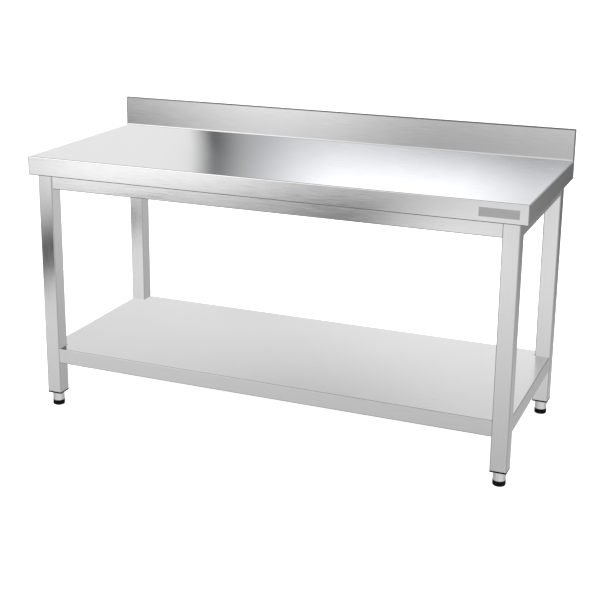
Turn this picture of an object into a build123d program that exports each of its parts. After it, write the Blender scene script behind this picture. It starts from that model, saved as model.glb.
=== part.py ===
from build123d import *
import os

# Stainless work table with a rear upstand and a lower shelf, in millimetres.
# X runs along the table, the front faces -Y, +Z is up, and the origin lies on
# the floor under the middle of the table. The feet are at their usual setting.

# --- overall size -------------------------------------------------------------
TABLE_LENGTH = 1600.0
TABLE_DEPTH = 650.0
WORK_HEIGHT = 850.0
UPSTAND_HEIGHT = 100.0
UPSTAND_DEPTH = 15.0

# --- folded worktop -----------------------------------------------------------
TOP_SHEET = 1.2
RIM_HEIGHT = 60.0
RIM_LIP = 12.0
TOP_BEND = 3.0
GROUND_CORNER = 1.2
UPSTAND_COVE = 4.0
CAP_THICKNESS = 1.5
BOARD_THICKNESS = 18.0
BOARD_GAP = 3.8
HAT_WIDTH = 120.0
HAT_HEIGHT = 25.0
HAT_FLANGE = 25.0
HAT_LENGTH = 1400.0
BADGE_SIZE = (114.0, 26.0)
BADGE_THICKNESS = 0.6
BADGE_CHAMFER = 0.2
BADGE_INSET = (26.0, 18.0)

# --- frame --------------------------------------------------------------------
LEG_SIZE = 50.0
LEG_WALL = 1.5
LEG_CORNER = 3.0
LEG_BOTTOM = 51.0
SIDE_OVERHANG = 25.0
FRONT_OVERHANG = 15.0
REAR_OVERHANG = 4.0
RAIL_SHEET = 1.2
RAIL_BEND = 2.5
RAIL_DEPTH = 30.0
RAIL_DROP = 45.0
LONG_RAIL_SETBACK = 6.0
SIDE_RAIL_SETBACK = 1.0
RAIL_END_PLATE = 1.5

# --- lower shelf --------------------------------------------------------------
SHELF_TOP = 205.0
SHELF_RIM = 50.0
SHELF_SHEET = 1.0
SHELF_BEND = 2.5
SHELF_LIP = 12.0
SHELF_SETBACK = 2.0
SHELF_HAT_WIDTH = 110.0
SHELF_HAT_HEIGHT = 22.0
SHELF_HAT_LENGTH = 1380.0

# --- fasteners ----------------------------------------------------------------
BOLT_RADIUS = 4.0
BOLT_LENGTH = 19.0
BOLT_FLANGE_RADIUS = 8.5
BOLT_FLANGE = 1.2
BOLT_HEX = 13.0
BOLT_HEAD = 5.5
BOLT_HOLE_RADIUS = 4.4
RAIL_BOLT_INSETS = (20.0, 22.0)
SHELF_BOLT_DROPS = (33.0, 17.0)
RIVET_NUT_RADIUS = 5.5
RIVET_NUT_LENGTH = 14.0
RIVET_NUT_BULGE_RADIUS = 7.0
RIVET_NUT_BULGE = 3.0
WOOD_SCREW_RADIUS = 2.2
WOOD_SCREW_DEPTH = 13.0
WOOD_SCREW_HEAD = (4.5, 2.4)
WOOD_SCREW_HOLE_PLAY = 0.3
THREAD_PLAY = 0.05
LONG_RAIL_SCREWS_X = (-600.0, -200.0, 200.0, 600.0)
SIDE_RAIL_SCREWS_Y = (-150.0, 150.0)
RAIL_SCREW_OFFSET = 18.0
HAT_SCREWS_X = (-650.0, -325.0, 0.0, 325.0, 650.0)

# --- adjustable feet ----------------------------------------------------------
PAD_RADIUS = 19.6
PAD_HEIGHT = 17.0
PAD_FOOT_ROUND = 4.0
PAD_TOP_ROUND = 1.0
SLEEVE_RADIUS = 19.0
SLEEVE_WALL = 1.5
SLEEVE_FLOOR = 2.0
SLEEVE_TOP = 77.0
SLEEVE_ROUND = 0.8
SPINDLE_RADIUS = 5.0
SPINDLE_TOP = 140.0
SPINDLE_CHAMFER = 1.0
SPINDLE_COLLAR = (10.0, 4.0)
SPINDLE_DISC = (9.0, 4.0)
SPINDLE_DISC_BOTTOM = 4.0
SWIVEL_PLAY = 0.1
INSERT_FLANGE = 5.0
INSERT_BODY_HEIGHT = 60.0
INSERT_BODY_PLAY = 0.1
INSERT_POCKET_RADIUS = 19.5
INSERT_POCKET_TOP = 98.0
NUT_HEX = 17.0
NUT_HEIGHT = 8.0

# --- working values -----------------------------------------------------------
DRILL_MARGIN = 1.0
SAME_PLACE = 0.01

# --- places that follow from the sizes above ----------------------------------
HALF_LENGTH = TABLE_LENGTH / 2
HALF_DEPTH = TABLE_DEPTH / 2
RIM_BOTTOM = WORK_HEIGHT - RIM_HEIGHT
UPSTAND_FRONT = HALF_DEPTH - UPSTAND_DEPTH
UPSTAND_TOP = WORK_HEIGHT + UPSTAND_HEIGHT
BOARD_TOP = WORK_HEIGHT - TOP_SHEET
FRAME_TOP = BOARD_TOP - BOARD_THICKNESS
LEG_X = HALF_LENGTH - SIDE_OVERHANG - LEG_SIZE / 2
LEG_FRONT_Y = -HALF_DEPTH + FRONT_OVERHANG + LEG_SIZE / 2
LEG_REAR_Y = HALF_DEPTH - REAR_OVERHANG - LEG_SIZE / 2
RAIL_BOTTOM = RIM_BOTTOM - RAIL_DROP
RAIL_HEIGHT = FRAME_TOP - RAIL_BOTTOM
RAIL_BOLT_HEIGHTS = (RAIL_BOTTOM + RAIL_BOLT_INSETS[0], FRAME_TOP - RAIL_BOLT_INSETS[1])
SHELF_BOLT_HEIGHTS = tuple(SHELF_TOP - drop for drop in SHELF_BOLT_DROPS)
INSERT_BOTTOM = LEG_BOTTOM - INSERT_FLANGE
INSERT_TOP = LEG_BOTTOM + INSERT_BODY_HEIGHT

CORNERS = {
    "front_left": (-LEG_X, LEG_FRONT_Y),
    "front_right": (LEG_X, LEG_FRONT_Y),
    "rear_left": (-LEG_X, LEG_REAR_Y),
    "rear_right": (LEG_X, LEG_REAR_Y),
}


def block(x0, x1, y0, y1, z0, z1):
    """A box between two corners."""
    size = Box(x1 - x0, y1 - y0, z1 - z0)
    return Pos((x0 + x1) / 2, (y0 + y1) / 2, (z0 + z1) / 2) * size


def rod(radius, z0, z1, x=0.0, y=0.0):
    """An upright cylinder."""
    return Pos(x, y, (z0 + z1) / 2) * Cylinder(radius, z1 - z0)


def edges_at(shape, along, **places):
    """The straight edges along one axis whose middle lies at the given coordinates."""
    found = shape.edges().filter_by(along)
    for name, value in places.items():
        found = found.filter_by(lambda e, n=name, v=value: abs(getattr(e.center(), n) - v) < SAME_PLACE)
    return found


def edges_of_circle(shape, height):
    """The round edges of an upright shape at one height."""
    return shape.edges().filter_by(GeomType.CIRCLE).filter_by(
        lambda e: abs(e.center().Z - height) < SAME_PLACE)


# --- worktop ------------------------------------------------------------------
def worktop_shell(inset, bend):
    """The worktop block without its upstand, with its bends rounded and its corners square."""
    x, front, rear = HALF_LENGTH - inset, -HALF_DEPTH + inset, HALF_DEPTH - inset
    bottom, top = RIM_BOTTOM + inset, WORK_HEIGHT - inset
    shell = block(-x, x, front, rear, bottom, top)
    edges = edges_at(shell, Axis.X, Y=front)
    for side in (-x, x):
        edges += edges_at(shell, Axis.Y, X=side)
    return fillet(edges, bend)


def ground_corners(shell):
    """The shell with its two welded front corners ground to a small radius."""
    plan = block(-HALF_LENGTH, HALF_LENGTH, -HALF_DEPTH, HALF_DEPTH, RIM_BOTTOM, WORK_HEIGHT)
    upright = edges_at(plan, Axis.Z, X=-HALF_LENGTH, Y=-HALF_DEPTH)
    upright += edges_at(plan, Axis.Z, X=HALF_LENGTH, Y=-HALF_DEPTH)
    return shell & fillet(upright, GROUND_CORNER)


def worktop_pan():
    """One folded sheet: top, front and side rims with lips, upstand and back flange."""
    bend_start = WORK_HEIGHT - TOP_BEND
    back = block(-HALF_LENGTH, HALF_LENGTH, UPSTAND_FRONT, HALF_DEPTH, bend_start, UPSTAND_TOP)
    crest = edges_at(back, Axis.X, Y=UPSTAND_FRONT, Z=UPSTAND_TOP)
    crest += edges_at(back, Axis.X, Y=HALF_DEPTH, Z=UPSTAND_TOP)
    back = fillet(crest, TOP_BEND)
    cove = block(-HALF_LENGTH + TOP_BEND, HALF_LENGTH - TOP_BEND, UPSTAND_FRONT - UPSTAND_COVE,
                 UPSTAND_FRONT, WORK_HEIGHT, WORK_HEIGHT + UPSTAND_COVE)
    cove_axis = Pos(0, UPSTAND_FRONT - UPSTAND_COVE, WORK_HEIGHT + UPSTAND_COVE)
    cove -= cove_axis * Rot(0, 90, 0) * Cylinder(UPSTAND_COVE, TABLE_LENGTH)
    pan = ground_corners(worktop_shell(0, TOP_BEND)) + back + cove

    inner_x = HALF_LENGTH - TOP_SHEET
    inner_back = HALF_DEPTH - TOP_SHEET
    hollow = worktop_shell(TOP_SHEET, TOP_BEND - TOP_SHEET)
    hollow += block(-inner_x, inner_x, UPSTAND_FRONT + TOP_SHEET, inner_back, bend_start, WORK_HEIGHT)
    hollow += block(-HALF_LENGTH, HALF_LENGTH, UPSTAND_FRONT + TOP_SHEET, inner_back,
                    WORK_HEIGHT, UPSTAND_TOP - TOP_SHEET)
    lip_x = HALF_LENGTH - RIM_LIP
    mouth = block(-lip_x, lip_x, -HALF_DEPTH + RIM_LIP, inner_back, RIM_BOTTOM, RIM_BOTTOM + TOP_SHEET)
    return pan - hollow - mouth


def upstand_end_cap(side):
    """The small plate that closes one end of the folded upstand."""
    outer, inner = side * HALF_LENGTH, side * (HALF_LENGTH - CAP_THICKNESS)
    return block(min(outer, inner), max(outer, inner), UPSTAND_FRONT + TOP_SHEET,
                 HALF_DEPTH - TOP_SHEET, WORK_HEIGHT, UPSTAND_TOP - TOP_SHEET)


def hat_profile(width, height, flange, sheet, length, top):
    """A folded hat section along X, its two flanges against the surface above it."""
    half, web = width / 2, width / 2 - flange
    hat = block(-length / 2, length / 2, -web, web, top - height, top)
    hat -= block(-length / 2, length / 2, -web + sheet, web - sheet, top - height + sheet, top)
    for side in (-1, 1):
        near, far = sorted((side * (web - sheet), side * half))
        hat += block(-length / 2, length / 2, near, far, top - sheet, top)
    return hat


def badge_plate():
    """The blank plate on the front rim, near its right end."""
    x1, z1 = HALF_LENGTH - BADGE_INSET[0], WORK_HEIGHT - BADGE_INSET[1]
    plate = block(x1 - BADGE_SIZE[0], x1, -HALF_DEPTH - BADGE_THICKNESS, -HALF_DEPTH,
                  z1 - BADGE_SIZE[1], z1)
    return chamfer(plate.faces().sort_by(Axis.Y)[0].edges(), BADGE_CHAMFER)


# --- fasteners ----------------------------------------------------------------
def wood_screw_places():
    """Where the screws go up into the board: through each rail's flange and the hat's flanges."""
    front_y = LEG_FRONT_Y - LEG_SIZE / 2 + LONG_RAIL_SETBACK + RAIL_SCREW_OFFSET
    rear_y = LEG_REAR_Y + LEG_SIZE / 2 - LONG_RAIL_SETBACK - RAIL_SCREW_OFFSET
    side_x = LEG_X + LEG_SIZE / 2 - SIDE_RAIL_SETBACK - RAIL_SCREW_OFFSET
    hat_y = (HAT_WIDTH - HAT_FLANGE) / 2
    places = [(x, y) for x in LONG_RAIL_SCREWS_X for y in (front_y, rear_y)]
    places += [(x, y) for x in (-side_x, side_x) for y in SIDE_RAIL_SCREWS_Y]
    places += [(x, y) for x in HAT_SCREWS_X for y in (-hat_y, hat_y)]
    return places


def wood_screw(x, y, play=0.0):
    """A pan-head screw whose head lies under a sheet that the board rests on."""
    under = FRAME_TOP - RAIL_SHEET
    shank = rod(WOOD_SCREW_RADIUS + play, under, FRAME_TOP + WOOD_SCREW_DEPTH, x, y)
    if play:
        return shank
    head_radius, head_height = WOOD_SCREW_HEAD
    head = rod(head_radius, under - head_height, under, x, y)
    head = fillet(edges_of_circle(head, under - head_height), head_height / 2)
    return shank + head


def hex_prism(across_flats, z0, z1):
    """An upright hexagonal prism."""
    return Pos(0, 0, z0) * extrude(RegularPolygon(across_flats / 2, 6, major_radius=False), z1 - z0)


def flange_bolt():
    """A hex flange bolt: z = 0 is the face it clamps, and its shank points up."""
    bolt = rod(BOLT_RADIUS, 0, BOLT_LENGTH) + rod(BOLT_FLANGE_RADIUS, -BOLT_FLANGE, 0)
    return bolt + hex_prism(BOLT_HEX, -BOLT_HEAD, -BOLT_FLANGE)


def rivet_nut():
    """A flush rivet nut: z = 0 is the outside of the tube wall that it is set in."""
    nut = rod(RIVET_NUT_RADIUS, 0, RIVET_NUT_LENGTH)
    nut += rod(RIVET_NUT_BULGE_RADIUS, LEG_WALL, LEG_WALL + RIVET_NUT_BULGE)
    return nut - rod(BOLT_RADIUS + THREAD_PLAY, 0, RIVET_NUT_LENGTH)


def bolt_axes(kind):
    """Planes on the legs' faces, each with its z axis pointing into the leg."""
    planes = []
    for x, y in CORNERS.values():
        to_side, to_end = (1 if x > 0 else -1), (1 if y > 0 else -1)
        face_x, face_y = x - to_side * LEG_SIZE / 2, y - to_end * LEG_SIZE / 2
        if kind == "rail":
            long_y = y + to_end * (LEG_SIZE / 2 - LONG_RAIL_SETBACK - RAIL_DEPTH / 2)
            side_x = x + to_side * (LEG_SIZE / 2 - SIDE_RAIL_SETBACK - RAIL_DEPTH / 2)
            spots = [(long_y, side_x, z, z) for z in RAIL_BOLT_HEIGHTS]
        else:
            spots = [(y, x, *SHELF_BOLT_HEIGHTS)]
        for along_y, along_x, z_long, z_side in spots:
            planes.append(Plane((face_x, along_y, z_long), z_dir=(to_side, 0, 0)))
            planes.append(Plane((along_x, face_y, z_side), z_dir=(0, to_end, 0)))
    return planes


def placed(shape, kind, lift):
    """Copies of one fastener on each of its planes, lift being how far out they start."""
    return [plane * Pos(0, 0, -lift) * shape for plane in bolt_axes(kind)]


# --- frame --------------------------------------------------------------------
def square_tube_section(size, corner):
    """A square with rounded corners."""
    return RectangleRounded(size, size, corner)


def leg(x, y):
    """A square tube with holes for its rivet nuts."""
    section = square_tube_section(LEG_SIZE, LEG_CORNER)
    section -= square_tube_section(LEG_SIZE - 2 * LEG_WALL, LEG_CORNER - LEG_WALL)
    tube = Pos(x, y, LEG_BOTTOM) * extrude(section, FRAME_TOP - LEG_BOTTOM)
    drill = rod(RIVET_NUT_RADIUS + THREAD_PLAY, -DRILL_MARGIN, LEG_WALL + DRILL_MARGIN)
    for plane in bolt_axes("rail") + bolt_axes("shelf"):
        origin = plane.origin
        if abs(origin.X - x) < LEG_SIZE and abs(origin.Y - y) < LEG_SIZE:
            tube -= plane * drill
    return tube


def rail(length):
    """A folded channel with closed ends, along X, its web facing -Y at y = 0."""
    half = length / 2
    channel = block(-half, half, 0, RAIL_DEPTH, RAIL_BOTTOM, FRAME_TOP)
    channel = fillet(edges_at(channel, Axis.X, Y=0, Z=RAIL_BOTTOM), RAIL_BEND)
    inside = half - RAIL_END_PLATE
    hollow = block(-inside, inside, RAIL_SHEET, RAIL_DEPTH, RAIL_BOTTOM + RAIL_SHEET,
                   FRAME_TOP - RAIL_SHEET)
    hollow = fillet(edges_at(hollow, Axis.X, Y=RAIL_SHEET, Z=RAIL_BOTTOM + RAIL_SHEET),
                    RAIL_BEND - RAIL_SHEET)
    return channel - hollow


def placed_rails():
    """The four rails between the legs, drilled for their bolts and for the board's screws."""
    long_rail = rail(2 * LEG_X - LEG_SIZE)
    side_rail = rail(LEG_REAR_Y - LEG_FRONT_Y - LEG_SIZE)
    side_y = (LEG_FRONT_Y + LEG_REAR_Y) / 2
    side_x = LEG_X + LEG_SIZE / 2 - SIDE_RAIL_SETBACK
    front_y = LEG_FRONT_Y - LEG_SIZE / 2 + LONG_RAIL_SETBACK
    rear_y = LEG_REAR_Y + LEG_SIZE / 2 - LONG_RAIL_SETBACK
    rails = {
        "rail_front": Pos(0, front_y, 0) * long_rail,
        "rail_rear": Pos(0, rear_y, 0) * Rot(0, 0, 180) * long_rail,
        "rail_left": Pos(-side_x, side_y, 0) * Rot(0, 0, -90) * side_rail,
        "rail_right": Pos(side_x, side_y, 0) * Rot(0, 0, 90) * side_rail,
    }
    drill = rod(BOLT_HOLE_RADIUS, -DRILL_MARGIN, RAIL_END_PLATE + DRILL_MARGIN)
    drills = placed(drill, "rail", RAIL_END_PLATE)
    drills += [wood_screw(x, y, play=WOOD_SCREW_HOLE_PLAY) for x, y in wood_screw_places()]
    return {name: shape - drills for name, shape in rails.items()}


# --- lower shelf --------------------------------------------------------------
def shelf_outline(inset):
    """The shelf's plan with a notch at each leg, drawn in by the inset."""
    x = LEG_X + LEG_SIZE / 2 - SHELF_SETBACK - inset
    front = LEG_FRONT_Y - LEG_SIZE / 2 + SHELF_SETBACK + inset
    rear = LEG_REAR_Y + LEG_SIZE / 2 - SHELF_SETBACK - inset
    plan = Pos(0, (front + rear) / 2) * Rectangle(2 * x, rear - front)
    for leg_x, leg_y in CORNERS.values():
        plan -= Pos(leg_x, leg_y) * Rectangle(LEG_SIZE + 2 * inset, LEG_SIZE + 2 * inset)
    return plan


def shelf_block(inset, bend):
    """The shelf's tray as a solid block, drawn in by the inset, with its bends rounded."""
    bottom, top = SHELF_TOP - SHELF_RIM + inset, SHELF_TOP - inset
    tray = Pos(0, 0, bottom) * extrude(shelf_outline(inset), top - bottom)
    tray = fillet(tray.faces().sort_by(Axis.Z)[-1].edges(), bend)
    size = tray.bounding_box()
    edges = edges_at(tray, Axis.X, Y=size.min.Y, Z=bottom)
    edges += edges_at(tray, Axis.X, Y=size.max.Y, Z=bottom)
    edges += edges_at(tray, Axis.Y, X=size.min.X, Z=bottom)
    edges += edges_at(tray, Axis.Y, X=size.max.X, Z=bottom)
    return fillet(edges, bend)


def shelf_pan():
    """A folded tray, open below, with rims, lips and a turned-down notch at each leg."""
    tray = shelf_block(0, SHELF_BEND)
    size = tray.bounding_box()
    bottom = size.min.Z
    lips = block(size.min.X, size.max.X, size.min.Y, size.max.Y, bottom, bottom + SHELF_SHEET)
    lips -= block(size.min.X + SHELF_LIP, size.max.X - SHELF_LIP,
                  size.min.Y + SHELF_LIP, size.max.Y - SHELF_LIP, bottom, bottom + SHELF_SHEET)
    mouth = Pos(0, 0, bottom) * extrude(shelf_outline(SHELF_SHEET), SHELF_SHEET) - lips
    pan = tray - shelf_block(SHELF_SHEET, SHELF_BEND - SHELF_SHEET) - mouth
    drill = rod(BOLT_HOLE_RADIUS, -DRILL_MARGIN, SHELF_SHEET + DRILL_MARGIN)
    return pan - placed(drill, "shelf", SHELF_SHEET)


# --- feet ---------------------------------------------------------------------
def insert():
    """The plastic plug in a leg's end, with a pocket for the sleeve and a seat for the nut."""
    flange = Pos(0, 0, INSERT_BOTTOM) * extrude(square_tube_section(LEG_SIZE, LEG_CORNER), INSERT_FLANGE)
    body_size = LEG_SIZE - 2 * LEG_WALL - 2 * INSERT_BODY_PLAY
    body = square_tube_section(body_size, LEG_CORNER - LEG_WALL)
    plug = flange + Pos(0, 0, LEG_BOTTOM) * extrude(body, INSERT_BODY_HEIGHT)
    plug -= rod(INSERT_POCKET_RADIUS, INSERT_BOTTOM, INSERT_POCKET_TOP)
    plug -= rod(SPINDLE_RADIUS + THREAD_PLAY, INSERT_POCKET_TOP, INSERT_TOP)
    return plug - hex_prism(NUT_HEX, INSERT_TOP - NUT_HEIGHT, INSERT_TOP)


def spindle_nut():
    """The steel nut that the spindle turns in."""
    nut = hex_prism(NUT_HEX, INSERT_TOP - NUT_HEIGHT, INSERT_TOP)
    return nut - rod(SPINDLE_RADIUS + THREAD_PLAY, INSERT_TOP - NUT_HEIGHT, INSERT_TOP)


def foot_pad():
    """The black base, which stays still on the floor while the spindle turns in it."""
    pad = rod(PAD_RADIUS, 0, PAD_HEIGHT)
    pad = fillet(edges_of_circle(pad, 0), PAD_FOOT_ROUND)
    pad = fillet(edges_of_circle(pad, PAD_HEIGHT), PAD_TOP_ROUND)
    disc_radius, disc_height = SPINDLE_DISC
    seat_top = SPINDLE_DISC_BOTTOM + disc_height + SWIVEL_PLAY
    pad -= rod(disc_radius + SWIVEL_PLAY, SPINDLE_DISC_BOTTOM - SWIVEL_PLAY, seat_top)
    return pad - rod(SPINDLE_RADIUS + SWIVEL_PLAY, seat_top, PAD_HEIGHT)


def foot_sleeve():
    """The stainless sleeve, a cup whose floor is fixed under the spindle's collar."""
    bottom = PAD_HEIGHT + 2 * SWIVEL_PLAY
    sleeve = rod(SLEEVE_RADIUS, bottom, SLEEVE_TOP)
    sleeve = fillet(edges_of_circle(sleeve, bottom), SLEEVE_ROUND)
    sleeve -= rod(SLEEVE_RADIUS - SLEEVE_WALL, bottom + SLEEVE_FLOOR, SLEEVE_TOP)
    return sleeve - rod(SPINDLE_RADIUS, bottom, bottom + SLEEVE_FLOOR)


def foot_spindle():
    """The threaded spindle with its collar and the disc that turns in the pad."""
    disc_radius, disc_height = SPINDLE_DISC
    collar_radius, collar_height = SPINDLE_COLLAR
    collar_bottom = PAD_HEIGHT + 2 * SWIVEL_PLAY + SLEEVE_FLOOR
    spindle = rod(SPINDLE_RADIUS, SPINDLE_DISC_BOTTOM, SPINDLE_TOP)
    spindle = chamfer(edges_of_circle(spindle, SPINDLE_TOP), SPINDLE_CHAMFER)
    spindle += rod(disc_radius, SPINDLE_DISC_BOTTOM, SPINDLE_DISC_BOTTOM + disc_height)
    return spindle + rod(collar_radius, collar_bottom, collar_bottom + collar_height)


# --- assembly -----------------------------------------------------------------
def make_nodes():
    """Every piece by its node's name: a shape, or a list of identical fasteners."""
    screw_places = wood_screw_places()
    board = block(-HALF_LENGTH + TOP_SHEET + BOARD_GAP, HALF_LENGTH - TOP_SHEET - BOARD_GAP,
                  -HALF_DEPTH + TOP_SHEET + BOARD_GAP, UPSTAND_FRONT - BOARD_GAP,
                  FRAME_TOP, BOARD_TOP)
    hat = hat_profile(HAT_WIDTH, HAT_HEIGHT, HAT_FLANGE, RAIL_SHEET, HAT_LENGTH, FRAME_TOP)
    hat_drills = [wood_screw(x, y, play=WOOD_SCREW_HOLE_PLAY) for x, y in screw_places]
    nodes = {
        "worktop_pan": worktop_pan(),
        "upstand_end_cap_left": upstand_end_cap(-1),
        "upstand_end_cap_right": upstand_end_cap(1),
        "worktop_board": board - [wood_screw(x, y, play=THREAD_PLAY) for x, y in screw_places],
        "worktop_stiffener": hat - hat_drills,
        "badge_plate": badge_plate(),
        "board_screws": [wood_screw(x, y) for x, y in screw_places],
        "rail_bolts": placed(flange_bolt(), "rail", RAIL_END_PLATE),
        "rail_rivet_nuts": placed(rivet_nut(), "rail", 0),
        "shelf_pan": shelf_pan(),
        "shelf_stiffener": hat_profile(SHELF_HAT_WIDTH, SHELF_HAT_HEIGHT, HAT_FLANGE, SHELF_SHEET,
                                       SHELF_HAT_LENGTH, SHELF_TOP - SHELF_SHEET),
        "shelf_bolts": placed(flange_bolt(), "shelf", SHELF_SHEET),
        "shelf_rivet_nuts": placed(rivet_nut(), "shelf", 0),
    }
    nodes.update(placed_rails())
    foot_parts = {"pad": foot_pad(), "sleeve": foot_sleeve(), "spindle": foot_spindle(),
                  "insert": insert(), "nut": spindle_nut()}
    for corner, (x, y) in CORNERS.items():
        nodes[f"leg_{corner}"] = leg(x, y)
        for part, shape in foot_parts.items():
            nodes[f"foot_{part}_{corner}"] = Pos(x, y, 0) * shape
    return nodes


def main():
    os.makedirs("parts", exist_ok=True)
    for name, shape in make_nodes().items():
        solids = shape if isinstance(shape, list) else [shape]
        solid_parts = [solid for piece in solids for solid in piece.solids()]
        whole = solid_parts[0] if len(solid_parts) == 1 else Compound(children=solid_parts)
        whole.label = name
        export_step(whole, f"parts/{name}.step")


main()
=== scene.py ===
"""Looks for the stainless work table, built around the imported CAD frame."""
import math

import bpy
from mathutils import Matrix, Vector


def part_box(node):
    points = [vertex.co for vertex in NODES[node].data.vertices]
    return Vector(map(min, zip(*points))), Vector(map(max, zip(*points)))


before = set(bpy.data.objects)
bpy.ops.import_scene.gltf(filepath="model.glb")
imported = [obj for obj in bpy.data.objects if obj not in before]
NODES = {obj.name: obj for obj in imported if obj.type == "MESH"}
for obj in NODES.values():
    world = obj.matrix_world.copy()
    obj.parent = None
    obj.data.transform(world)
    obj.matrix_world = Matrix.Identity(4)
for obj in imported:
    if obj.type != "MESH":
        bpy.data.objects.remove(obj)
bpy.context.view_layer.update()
CORNERS = ("front_left", "front_right", "rear_left", "rear_right")


# --- camera -------------------------------------------------------------------
SENSOR = 36.0
FOCAL_IN_WIDTHS = 2.0898
CAMERA_PLACE = (1.4577, -3.6083, 1.6494)
CAMERA_TURN, CAMERA_TILT, CAMERA_ROLL = (math.radians(angle) for angle in (23.53, -15.64, 0.15))
CAMERA_SHIFT = (0.0557, -0.0892)


def make_camera():
    """A long lens from the front right, looking a little down."""
    data = bpy.data.cameras.new("camera")
    data.sensor_width = SENSOR
    data.lens = FOCAL_IN_WIDTHS * SENSOR
    data.shift_x, data.shift_y = CAMERA_SHIFT
    data.clip_end = 200.0
    camera = bpy.data.objects.new("camera", data)
    bpy.context.scene.collection.objects.link(camera)
    turn = Matrix.Rotation(CAMERA_TURN, 4, "Z") @ Matrix.Rotation(math.pi / 2 + CAMERA_TILT, 4, "X")
    roll = Matrix.Rotation(CAMERA_ROLL, 4, "Z")
    camera.matrix_world = Matrix.Translation(Vector(CAMERA_PLACE)) @ turn @ roll
    bpy.context.scene.camera = camera


# --- node helpers -------------------------------------------------------------
# Nearly all of a noise texture's values lie in this range.
NOISE_RANGE = (0.3, 0.7)


class Tree:
    """A material's or the world's node tree, with short calls for what this file needs."""

    def __init__(self, owner):
        owner.use_nodes = True
        self.nodes, self.links = owner.node_tree.nodes, owner.node_tree.links
        self.nodes.clear()

    def add(self, kind, inputs=None, **settings):
        node = self.nodes.new(kind)
        for name, value in settings.items():
            setattr(node, name, value)
        for name, value in (inputs or {}).items():
            if isinstance(value, bpy.types.NodeSocket):
                self.links.new(value, node.inputs[name])
            else:
                node.inputs[name].default_value = value
        return node

    def object_place(self):
        return self.add("ShaderNodeTexCoord").outputs["Object"]

    def parts(self, vector):
        """A vector's X, Y and Z."""
        return self.add("ShaderNodeSeparateXYZ", {"Vector": vector}).outputs

    def math(self, operation, a, b=0.5, c=0.5):
        inputs = {0: a, 1: b, 2: c}
        return self.add("ShaderNodeMath", inputs, operation=operation).outputs[0]

    def noise(self, vector, scale, detail=2.0, roughness=0.5):
        inputs = {"Vector": vector, "Scale": scale, "Detail": detail, "Roughness": roughness}
        return self.add("ShaderNodeTexNoise", inputs).outputs["Fac"]

    def ramp(self, factor, stops):
        """A colour over a factor, from stops of a position with a grey level or a colour."""
        node = self.add("ShaderNodeValToRGB", {"Fac": factor})
        elements = node.color_ramp.elements
        while len(elements) < len(stops):
            elements.new(0.5)
        for element, (position, colour) in zip(elements, stops):
            element.position = position
            element.color = (*colour, 1.0) if isinstance(colour, tuple) else (colour,) * 3 + (1.0,)
        return node.outputs["Color"]

    def remap(self, value, low, high, from_low, from_high):
        inputs = {"Value": value, "From Min": from_low, "From Max": from_high,
                  "To Min": low, "To Max": high}
        return self.add("ShaderNodeMapRange", inputs, clamp=True).outputs["Result"]

    def shades(self, noise, dark, light):
        """A colour that a noise takes from dark to light."""
        return self.ramp(noise, list(zip(NOISE_RANGE, (dark, light))))

    def spread(self, noise, low, high):
        """A value that a noise takes from low to high."""
        return self.remap(noise, low, high, *NOISE_RANGE)

    def vector(self, operation, a, b=None):
        inputs = {0: a}
        if b is not None:
            inputs["Scale" if operation == "SCALE" else 1] = b
        return self.add("ShaderNodeVectorMath", inputs, operation=operation).outputs[0]

    def mix(self, factor, a, b, kind="RGBA"):
        """A blend of two colours or vectors."""
        first, out = {"VECTOR": (4, 1), "RGBA": (6, 2)}[kind]
        node = self.add("ShaderNodeMix", {0: factor, first: a, first + 1: b}, data_type=kind)
        return node.outputs[out]

    def scaled(self, vector, scale):
        return self.add("ShaderNodeMapping", {"Vector": vector, "Scale": scale}).outputs["Vector"]

    def bump(self, height, strength):
        inputs = {"Height": height, "Strength": strength, "Distance": 0.0002}
        return self.add("ShaderNodeBump", inputs).outputs["Normal"]

    def principled(self, **inputs):
        """Ends the tree in a principled surface. The spaces in an input's name are underscores here."""
        named = {name.replace("_", " "): value for name, value in inputs.items()}
        self.surface(self.add("ShaderNodeBsdfPrincipled", named).outputs["BSDF"])

    def surface(self, shader):
        self.add("ShaderNodeOutputMaterial", {"Surface": shader})


# --- materials ----------------------------------------------------------------
# The grain's directions, tipped a little so that no flat face is square to its grain.
TANGENT = {"X": (1.0, 0.0, 0.02), "Y": (0.02, 1.0, 0.0), "Z": (0.02, 0.0, 1.0)}

# Streaks per metre: along the grain, and across it in the fine and the broad grooves.
ALONG_GRAIN = 14.0
FINE_GRAIN = 3600.0
BROAD_GRAIN = 420.0
GROOVE_LEAN = 0.05

# A face looks one way when its normal is past the first share, and is on a bend below the second.
FACING = 0.7
FLAT = 0.996

# Painted shade on the worktop's sheet: the cove below the upstand stays plain, and painted dark lines
# go on the folded crest and on the ends of the upstand and of the front rim.
BOARD_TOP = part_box("worktop_board")[1][2]
PAN_END, _, PAN_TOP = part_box("worktop_pan")[1]
COVE_FOOT, COVE_HEAD = BOARD_TOP + 0.0013, BOARD_TOP + 0.005
CREST_FOOT = PAN_TOP - 0.0024
# Tones of the painted dark line (painted shade) along the crest.
CREST_PAINTED_SHADE = ((0.85, 0.1), (0.95, 0.24))
END_SHADE_START = PAN_END - 0.0026
# Tone of the painted dark line (painted shade) at each end of the upstand and the front rim.
END_PAINTED_SHADE = (0.3, 0.3, 0.3, 1.0)


def groove_noise(tree, place, normal, grain, across, folded):
    """Long streaks along one axis. On a folded sheet they run down its end rims."""
    def streaks(along):
        return tree.scaled(place, tuple(ALONG_GRAIN if axis == along else across for axis in "XYZ"))

    wanted = streaks(grain)
    if folded:
        sideways = tree.math("ABSOLUTE", tree.parts(normal)["X"])
        wanted = tree.mix(tree.math("GREATER_THAN", sideways, FACING), wanted, streaks("Z"), "VECTOR")
    return tree.noise(wanted, 1.0, 3.0, 0.6)


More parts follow.
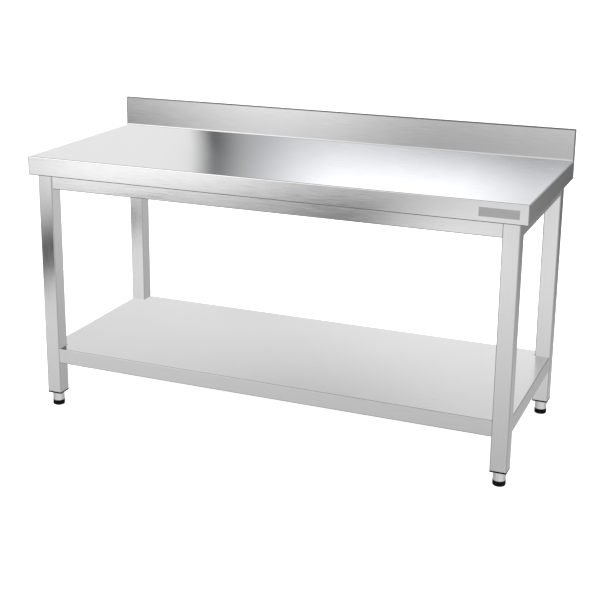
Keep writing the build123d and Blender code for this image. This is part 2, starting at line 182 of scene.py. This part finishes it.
def paint_light_on_bends(tree, normal, colour, painted_shade_tone, painted_highlight_tone):
    """Paints light onto each bend: a painted dark line (painted shade) on its crown and a painted
    highlight below it.
    """
    facing = tree.parts(normal)
    nearest = tree.math("ABSOLUTE", facing["X"])
    for axis in "YZ":
        nearest = tree.math("MAXIMUM", nearest, tree.math("ABSOLUTE", facing[axis]))
    upward = tree.math("MULTIPLY_ADD", facing["Z"], 0.5, 0.5)
    # Tones of the painted shade on a bend's crown and the painted highlight below it.
    painted_bend_tone = tree.ramp(upward, [(0.57, painted_shade_tone), (0.62, painted_highlight_tone), (0.80, painted_highlight_tone), (0.85, painted_shade_tone)])
    return tree.mix(tree.math("LESS_THAN", nearest, FLAT), colour, painted_bend_tone)


def paint_shade_on_upstand(tree, place, normal, colour, painted_bend_colour):
    """Leaves the cove plain, and paints shade as dark lines on the crest and on the ends of the upstand
    and the front rim.
    """
    where, facing = tree.parts(place), tree.parts(normal)
    middle, half = (COVE_FOOT + COVE_HEAD) / 2, (COVE_HEAD - COVE_FOOT) / 2
    shaded = tree.mix(tree.math("COMPARE", where["Z"], middle, half), painted_bend_colour, colour)
    on_crest = tree.math("GREATER_THAN", where["Z"], CREST_FOOT)
    shaded = tree.mix(on_crest, shaded, tree.ramp(facing["Z"], CREST_PAINTED_SHADE))
    # Painted dark line (painted shade) at each end of the upstand and the front rim.
    forward = tree.math("LESS_THAN", facing["Y"], -FACING)
    at_end = tree.math("GREATER_THAN", tree.math("ABSOLUTE", where["X"]), END_SHADE_START)
    return tree.mix(tree.math("MULTIPLY", forward, at_end), shaded, END_PAINTED_SHADE)


def brushed_steel(name, grain, tone=0.75, roughness=0.08, bends=None, folded=False, upstand=False):
    """Stainless steel brushed along one axis: long fine grooves that lean the surface across them.

    bends is how bright the painted shade line and the painted highlight line of a bend are, as shares
    of the tone. upstand is for the sheet that carries the upstand and its painted dark lines."""
    made = bpy.data.materials.new(name)
    tree = Tree(made)
    place = tree.object_place()
    normal = tree.add("ShaderNodeNewGeometry").outputs["Normal"]
    fine, broad = (groove_noise(tree, place, normal, grain, across, folded)
                   for across in (FINE_GRAIN, BROAD_GRAIN))
    cloud = tree.noise(place, 4.0, 2.0)
    streak = tree.math("ADD", tree.math("MULTIPLY", fine, 0.6), tree.math("MULTIPLY", broad, 0.4))
    colour = tree.shades(streak, tone * 0.95, tone * 1.04)
    rough = tree.math("ADD", tree.spread(streak, roughness * 0.85, roughness * 1.2),
                      tree.math("MULTIPLY_ADD", cloud, 0.03, -0.015))
    if upstand:
        above_cove = tree.remap(tree.parts(place)["Z"], 0.0, 0.03, COVE_HEAD - 0.001, COVE_HEAD + 0.001)
        rough = tree.math("ADD", rough, above_cove)
    # Paints shade and highlights onto the bends, and painted dark lines onto the upstand's sheet.
    if bends:
        painted_bend_colour = paint_light_on_bends(tree, normal, colour, *(tone * share for share in bends))
        colour = paint_shade_on_upstand(tree, place, normal, colour, painted_bend_colour) if upstand else painted_bend_colour
    tangent = tree.add("ShaderNodeCombineXYZ", dict(zip("XYZ", TANGENT[grain]))).outputs[0]
    across = tree.vector("CROSS_PRODUCT", normal, tangent)
    lean = tree.vector("SCALE", across, tree.math("MULTIPLY_ADD", fine, GROOVE_LEAN, -GROOVE_LEAN / 2))
    leaning = tree.vector("NORMALIZE", tree.vector("ADD", normal, lean))
    tree.principled(Base_Color=colour, Metallic=1.0, Roughness=rough, Anisotropic=0.95,
                    Normal=leaning, Tangent=tangent)
    return made


def moulded_plastic(name, colour, roughness=0.5):
    """Black moulded plastic with a faint spark-eroded texture."""
    made = bpy.data.materials.new(name)
    tree = Tree(made)
    place = tree.object_place()
    speck = tree.noise(place, 2500.0, 3.0, 0.6)
    cloud = tree.noise(place, 60.0, 2.0)
    dark, light = (tuple(part * share for part in colour) for share in (0.8, 1.25))
    tree.principled(Base_Color=tree.shades(cloud, dark, light), Specular_IOR_Level=0.06,
                    Roughness=tree.spread(speck, roughness - 0.06, roughness + 0.08),
                    Normal=tree.bump(speck, 0.15))
    return made


def zinc_steel(name):
    """Bright zinc plating with a fine mottle."""
    made = bpy.data.materials.new(name)
    tree = Tree(made)
    mottle = tree.noise(tree.object_place(), 400.0, 3.0)
    tree.principled(Base_Color=tree.shades(mottle, (0.55, 0.56, 0.58), (0.68, 0.69, 0.70)),
                    Metallic=1.0, Roughness=tree.spread(mottle, 0.24, 0.38))
    return made


def laminated_board(name):
    """White melamine with a very fine pearl texture."""
    made = bpy.data.materials.new(name)
    tree = Tree(made)
    place = tree.object_place()
    pearl = tree.noise(place, 900.0, 2.0)
    cloud = tree.noise(place, 5.0, 3.0)
    tree.principled(Base_Color=tree.shades(cloud, (0.74, 0.73, 0.70), (0.80, 0.79, 0.76)),
                    Roughness=tree.spread(pearl, 0.4, 0.55), Normal=tree.bump(pearl, 0.1))
    return made


def badge_grey(name):
    """The blank grey plate, satin anodised with a fine grain."""
    made = bpy.data.materials.new(name)
    tree = Tree(made)
    grain = tree.noise(tree.scaled(tree.object_place(), (40.0, 40.0, 3000.0)), 1.0, 2.0)
    tree.principled(Base_Color=tree.shades(grain, (0.25, 0.25, 0.255), (0.29, 0.29, 0.295)),
                    Metallic=0.3, Roughness=tree.spread(grain, 0.4, 0.5))
    return made


# --- dressing -----------------------------------------------------------------
def dress(names, made):
    """Gives CAD nodes a material through their own slots."""
    for name in names:
        for slot in NODES[name].material_slots:
            slot.material = made


def at_corners(kind):
    return [f"{kind}_{corner}" for corner in CORNERS]


def dress_everything():
    # The bends shares paint shade and highlights onto the bends; on the legs they paint a dark line
    # (painted shade) along each corner.
    dress(["worktop_pan"], brushed_steel("steel_worktop", "X", roughness=0.065, bends=(0.3, 1.25),
                                         folded=True, upstand=True))
    dress(["upstand_end_cap_left", "upstand_end_cap_right"], brushed_steel("steel_caps", "Z"))
    dress(["shelf_pan"], brushed_steel("steel_shelf", "X", roughness=0.13, bends=(0.3, 0.9),
                                       folded=True))
    dress(["rail_front", "rail_rear"], brushed_steel("steel_long_rails", "X", bends=(0.3, 1.1)))
    dress(["rail_left", "rail_right"], brushed_steel("steel_side_rails", "Y", roughness=0.12,
                                                     bends=(0.3, 1.1)))
    dress(at_corners("leg"), brushed_steel("steel_legs", "Z", roughness=0.06, bends=(0.66, 0.66)))
    dress(["worktop_stiffener", "shelf_stiffener"],
          brushed_steel("steel_stiffeners", "X", tone=0.65, roughness=0.25))
    dress(at_corners("foot_sleeve"), brushed_steel("steel_sleeves", "Z", roughness=0.28))
    dress(at_corners("foot_pad") + at_corners("foot_insert"),
          moulded_plastic("black_plastic", (0.003, 0.003, 0.0033)))
    dress(at_corners("foot_spindle") + at_corners("foot_nut")
          + ["board_screws", "rail_bolts", "rail_rivet_nuts", "shelf_bolts", "shelf_rivet_nuts"],
          zinc_steel("zinc_steel"))
    dress(["worktop_board"], laminated_board("white_melamine"))
    dress(["badge_plate"], badge_grey("badge_grey"))


def hide_from_reflections():
    """Each steel surface mirrors the studio alone, not its neighbours."""
    for node in NODES.values():
        node.visible_glossy = False


# --- floor and flags ----------------------------------------------------------
def new_piece(name, points, faces, made):
    """A mesh object with one material."""
    mesh = bpy.data.meshes.new(name)
    mesh.from_pydata(points, [], faces)
    mesh.materials.append(made)
    piece = bpy.data.objects.new(name, mesh)
    bpy.context.scene.collection.objects.link(piece)
    return piece


FLOOR_REACH = 60.0


def make_floor():
    """A plain pale floor, mostly self-lit so that it stays even under the table."""
    made = bpy.data.materials.new("floor")
    tree = Tree(made)
    cloud = tree.noise(tree.object_place(), 0.7, 2.0)
    tree.principled(Base_Color=tree.shades(cloud, 0.88, 0.90), Roughness=0.9,
                    Emission_Color=(1, 1, 1, 1), Emission_Strength=0.7)
    corners = [(x * FLOOR_REACH, y * FLOOR_REACH, 0) for x, y in ((-1, -1), (1, -1), (1, 1), (-1, 1))]
    floor = new_piece("floor", corners, [(0, 1, 2, 3)], made)
    floor.visible_glossy = False


FLAG_INSET = 0.002
FLAG_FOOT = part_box("shelf_pan")[1][2] + 0.0005
FLAG_TOP = 0.40
FLAG_LEVELS = {"leg_front_left": 0.15, "leg_rear_right": 0.6}


def make_flag(leg, level):
    """A studio flag inside the foot of one leg, a glowing card which only the steel sees: the shelf
    mirrors it as a painted reflection of the leg, which is itself hidden from reflections.
    """
    made = bpy.data.materials.new(f"flag_{leg}")
    tree = Tree(made)
    cloth = tree.noise(tree.object_place(), 30.0)
    colour = tree.shades(cloth, level * 0.95, level * 1.05)
    tree.surface(tree.add("ShaderNodeEmission", {"Color": colour}).outputs[0])
    (x0, y0, _), (x1, y1, _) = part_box(leg)
    x0, y0, x1, y1 = x0 + FLAG_INSET, y0 + FLAG_INSET, x1 - FLAG_INSET, y1 - FLAG_INSET
    plan = [(x0, y0), (x1, y0), (x1, y1), (x0, y1)]
    points = [(x, y, z) for z in (FLAG_FOOT, FLAG_TOP) for x, y in plan]
    sides = [(n, (n + 1) % 4, (n + 1) % 4 + 4, n + 4) for n in range(4)]
    flag = new_piece(f"flag_{leg}", points, sides, made)
    flag.visible_camera = flag.visible_diffuse = flag.visible_shadow = False


# --- studio -------------------------------------------------------------------
# Each band is how bright the studio is over the sideways part (x) of a direction, -1 being the left.
# The levels are set for the camera's own view: there the worktop and the shelf mirror the
# half behind the table, its front mirrors the half ahead of it, and its right-hand faces mirror the
# half behind, below the horizon. From elsewhere the same bands fall on other faces.
BEHIND_LOW = (
    (-1.0, 0.35), (-0.8, 0.8), (-0.6, 0.95), (-0.439, 0.94), (-0.4355, 0.0), (-0.425, 0.13),
    (-0.41, 0.4), (-0.37, 0.66), (-0.33, 0.72), (-0.29, 0.56), (-0.25, 0.40), (-0.20, 0.27),
    (0.1, 0.5), (0.5, 0.85), (1.0, 0.8))
BEHIND_MID = (
    (-1.0, 0.35), (-0.8, 0.8), (-0.6, 0.97), (-0.439, 0.94), (-0.4355, 0.1), (-0.41, 0.5),
    (-0.38, 0.92), (-0.345, 1.38), (-0.29, 1.42), (-0.24, 1.35), (-0.19, 0.93), (0.1, 0.8),
    (0.5, 0.9), (1.0, 0.8))
BEHIND_HIGH = (
    (-1.0, 0.6), (-0.6, 0.9), (-0.4, 1.0), (-0.2, 1.0), (0.3, 0.85), (1.0, 0.8))
BEHIND_HIGHER = (
    (-1.0, 0.6), (-0.5, 0.6), (-0.42, 0.62), (-0.36, 0.42), (-0.30, 0.44), (-0.22, 0.75),
    (0.3, 0.85), (1.0, 0.8))
BEHIND_UNDER = (
    (-1.0, 0.6), (0.0, 0.62), (0.08, 0.45), (0.145, 0.12), (0.19, 0.24), (0.3, 0.28),
    (0.47, 0.56), (0.55, 0.7), (1.0, 0.7))
AHEAD_HIGH = (
    (-1.0, 0.35), (-0.6, 1.5), (-0.45, 1.6), (-0.3, 0.9), (-0.15, 0.9), (1.0, 0.8))
AHEAD_LEVEL = (
    (-1.0, 0.2), (-0.50, 0.33), (-0.46, 0.65), (-0.40, 1.02), (-0.35, 0.98), (-0.31, 0.6),
    (-0.27, 0.46), (-0.22, 0.58), (-0.17, 0.72), (0.2, 0.8), (1.0, 0.4))
AHEAD_LOW = (
    (-1.0, 0.3), (-0.6, 0.8), (-0.55, 1.02), (-0.53, 1.27), (-0.5, 1.34), (-0.46, 1.3),
    (-0.43, 1.24), (-0.40, 1.1), (-0.37, 0.86), (-0.34, 0.75), (-0.31, 0.7), (-0.285, 0.62),
    (-0.25, 0.74), (-0.22, 0.92))
AHEAD_LOWER = (
    (-1.0, 0.3), (-0.6, 0.45), (-0.53, 0.72), (-0.51, 0.95), (-0.45, 0.98), (-0.40, 0.78),
    (-0.36, 0.6), (-0.335, 0.52), (-0.312, 0.5), (-0.29, 0.6), (-0.25, 0.88), (-0.23, 0.95),
    (-0.19, 0.85), (-0.16, 0.98))
AHEAD_RAIL = (
    (-1.0, 0.3), (-0.6, 0.9), (-0.53, 1.03), (-0.50, 1.0), (-0.45, 0.84), (-0.40, 0.58),
    (-0.36, 0.34), (-0.335, 0.0), (-0.312, 0.05), (-0.29, 0.85), (-0.25, 1.12), (-0.23, 1.15),
    (-0.19, 0.8), (-0.16, 0.95))
GREATEST_LIGHT = 2.0
CEILING, RIGHT_SIDE, FAR_BELOW, BELOW, BEHIND_BELOW = 0.85, 0.85, 0.60, 1.0, 0.50

# Seams between bands, as where one starts to give way and where it has. Most are in the upward part
# (z) of a direction, negative below the horizon.
LOW_TO_MID = (0.185, 0.222)
MID_TO_HIGH = (0.24, 0.30)
HIGH_TO_HIGHER = (0.345, 0.40)
TO_CEILING = (0.8, 0.92)
HORIZON = (-0.02, 0.02)
LOWER_TO_LOW = (-0.236, -0.206)
BELOW_TO_LOWER = (-0.275, -0.255)
FAR_BELOW_TO_BELOW = (-0.42, -0.26)
BEHIND_BELOW_TO_UNDER = (-0.36, -0.24)
# These are in the sideways part (x) and the last one in the depth part (y).
COOL_START = (-0.439, -0.435)
RAIL_START = (-0.525, -0.50)
TO_RIGHT_SIDE = (-0.1, 0.1)
TO_BEHIND = (-0.1, 0.1)

# The rail's and the upstand's bands begin along lines that slant over the sideways part.
RAIL_SLOPE, RAIL_SEAM = 0.1, (-0.268, -0.274)
LEVEL_SLOPE, LEVEL_SEAM = 0.061, (-0.2246, -0.2166)
# The upstand is brighter towards its crest and darker in its lower left corner.
LEVEL_HEIGHTS, LEVEL_SHARES = (-0.192, -0.15), (0.83, 1.3)
DARK_CORNER_ACROSS, DARK_CORNER_HEIGHTS, DARK_CORNER_DEPTH = (-0.44, -0.50), (-0.164, -0.174), 0.6
# The worktop's dark edge bends a little to the left at the very back.
EDGE_BEND, EDGE_BEND_HEIGHTS = 0.0025, (0.178, 0.186)
# The light behind the table is a little cool and wavers over the sideways part.
WHITE, COOL = (1.0, 1.0, 1.0, 1.0), (0.98, 0.99, 1.02, 1.0)
RIPPLES, RIPPLE_SHARES = 420.0, (0.95, 1.05)
# A dark stripe slants across what the front-left leg mirrors, and narrows to the right.
STRIPE_SLOPE, STRIPE_LEVEL, STRIPE_LIGHT = -0.49, 0.008, 0.02
STRIPE_EDGE, STRIPE_TOP, STRIPE_END = (0.012, 0.03), (-0.225, -0.24), (-0.45, -0.48)
STRIPE_NARROWING, STRIPE_NARROWS = (1.0, 2.2), (-0.53, -0.47)


def grey(level):
    return (level / GREATEST_LIGHT,) * 3 + (1.0,)


class Studio(Tree):
    """The world's node tree, which paints light over the parts of a direction."""

    def __init__(self, world):
        super().__init__(world)
        direction = self.add("ShaderNodeTexCoord").outputs["Generated"]
        where = self.parts(direction)
        self.across, self.depth, self.height = where["X"], where["Y"], where["Z"]
        self.share = self.math("MULTIPLY_ADD", self.across, 0.5, 0.5)

    def band(self, stops, shift=None):
        share = self.share if shift is None else self.math("ADD", self.share, shift)
        return self.ramp(share, [(x / 2 + 0.5, level / GREATEST_LIGHT) for x, level in stops])

    def fade(self, value, seam):
        """Goes from 0 to 1 over a seam."""
        return self.remap(value, 0.0, 1.0, *seam)

    def slanted(self, slope):
        """The upward part of a direction, with a slope over its sideways part."""
        return self.math("MULTIPLY_ADD", self.across, slope, self.height)

    def behind(self):
        """Above the horizon, behind the table."""
        bend = self.remap(self.height, EDGE_BEND, 0.0, *EDGE_BEND_HEIGHTS)
        light = self.mix(self.fade(self.height, LOW_TO_MID), self.band(BEHIND_LOW, bend),
                         self.band(BEHIND_MID))
        tint = self.mix(self.fade(self.across, COOL_START), WHITE, COOL)
        light = self.vector("MULTIPLY", light, tint)
        sideways = self.add("ShaderNodeCombineXYZ", {"X": self.across}).outputs[0]
        ripple = self.spread(self.noise(sideways, RIPPLES, 3.0), *RIPPLE_SHARES)
        light = self.vector("SCALE", light, ripple)
        light = self.mix(self.fade(self.height, MID_TO_HIGH), light, self.band(BEHIND_HIGH))
        return self.mix(self.fade(self.height, HIGH_TO_HIGHER), light, self.band(BEHIND_HIGHER))

    def in_stripe(self):
        """How far a direction is in the dark stripe."""
        offset = self.math("MULTIPLY_ADD", self.across, STRIPE_SLOPE, STRIPE_LEVEL)
        distance = self.math("ABSOLUTE", self.math("ADD", self.height, offset))
        narrowing = self.remap(self.across, *STRIPE_NARROWING, *STRIPE_NARROWS)
        distance = self.math("MULTIPLY", distance, narrowing)
        inside = self.math("MULTIPLY", self.remap(distance, 1.0, 0.0, *STRIPE_EDGE),
                           self.fade(self.height, STRIPE_TOP))
        return self.math("MULTIPLY", inside, self.fade(self.across, STRIPE_END))

    def upstand_light(self):
        """What the upstand mirrors."""
        light = self.vector("SCALE", self.band(AHEAD_LEVEL),
                            self.remap(self.height, *LEVEL_SHARES, *LEVEL_HEIGHTS))
        corner = self.math("MULTIPLY", self.fade(self.across, DARK_CORNER_ACROSS),
                           self.fade(self.height, DARK_CORNER_HEIGHTS))
        return self.vector("SCALE", light, self.math("MULTIPLY_ADD", corner, -DARK_CORNER_DEPTH, 1.0))

    def ahead_under(self):
        """Below the horizon, ahead of the table."""
        light = self.mix(self.fade(self.height, LOWER_TO_LOW), self.band(AHEAD_LOWER),
                         self.band(AHEAD_LOW))
        on_rail = self.math("MULTIPLY", self.fade(self.slanted(RAIL_SLOPE), RAIL_SEAM),
                            self.fade(self.across, RAIL_START))
        light = self.mix(on_rail, light, self.band(AHEAD_RAIL))
        below = self.mix(self.fade(self.height, FAR_BELOW_TO_BELOW), grey(FAR_BELOW), grey(BELOW))
        light = self.mix(self.fade(self.height, BELOW_TO_LOWER), below, light)
        light = self.mix(self.in_stripe(), light, grey(STRIPE_LIGHT))
        on_upstand = self.fade(self.slanted(LEVEL_SLOPE), LEVEL_SEAM)
        light = self.mix(on_upstand, light, self.upstand_light())
        return self.mix(self.fade(self.across, TO_RIGHT_SIDE), light, grey(RIGHT_SIDE))

    def everything(self):
        to_behind = self.fade(self.depth, TO_BEHIND)
        above = self.mix(to_behind, self.band(AHEAD_HIGH), self.behind())
        above = self.mix(self.fade(self.height, TO_CEILING), above, grey(CEILING))
        behind_under = self.mix(self.fade(self.height, BEHIND_BELOW_TO_UNDER), grey(BEHIND_BELOW),
                                self.band(BEHIND_UNDER))
        under = self.mix(to_behind, self.ahead_under(), behind_under)
        return self.mix(self.fade(self.height, HORIZON), under, above)


def make_world():
    """The studio that the steel mirrors, as brightness over direction; the camera sees plain white."""
    world = bpy.data.worlds.new("studio")
    bpy.context.scene.world = world
    tree = Studio(world)
    light = {"Color": tree.everything(), "Strength": GREATEST_LIGHT}
    studio = tree.add("ShaderNodeBackground", light)
    plain = tree.add("ShaderNodeBackground", {"Color": WHITE, "Strength": 1.0})
    seen = tree.add("ShaderNodeLightPath").outputs["Is Camera Ray"]
    mixed = tree.add("ShaderNodeMixShader", {0: seen, 1: studio.outputs[0], 2: plain.outputs[0]})
    tree.add("ShaderNodeOutputWorld", {"Surface": mixed.outputs[0]})


KEY_PLACE, KEY_TARGET = Vector((0.5, -1.0, 4.0)), Vector((0, 0, 0.5))


def make_key_light():
    """One large soft light above the front, which the steel doesn't mirror."""
    data = bpy.data.lights.new("key", "AREA")
    data.shape = "RECTANGLE"
    data.size, data.size_y = 4.0, 3.0
    data.energy = 120
    light = bpy.data.objects.new("key", data)
    light.location = KEY_PLACE
    light.rotation_euler = (KEY_TARGET - KEY_PLACE).to_track_quat("-Z", "Y").to_euler()
    light.visible_camera = False
    light.visible_glossy = False
    bpy.context.scene.collection.objects.link(light)


bpy.context.scene.view_settings.view_transform = "Standard"
make_camera()
dress_everything()
hide_from_reflections()
make_floor()
for flagged_leg, flag_level in FLAG_LEVELS.items():
    make_flag(flagged_leg, flag_level)
make_world()
make_key_light()
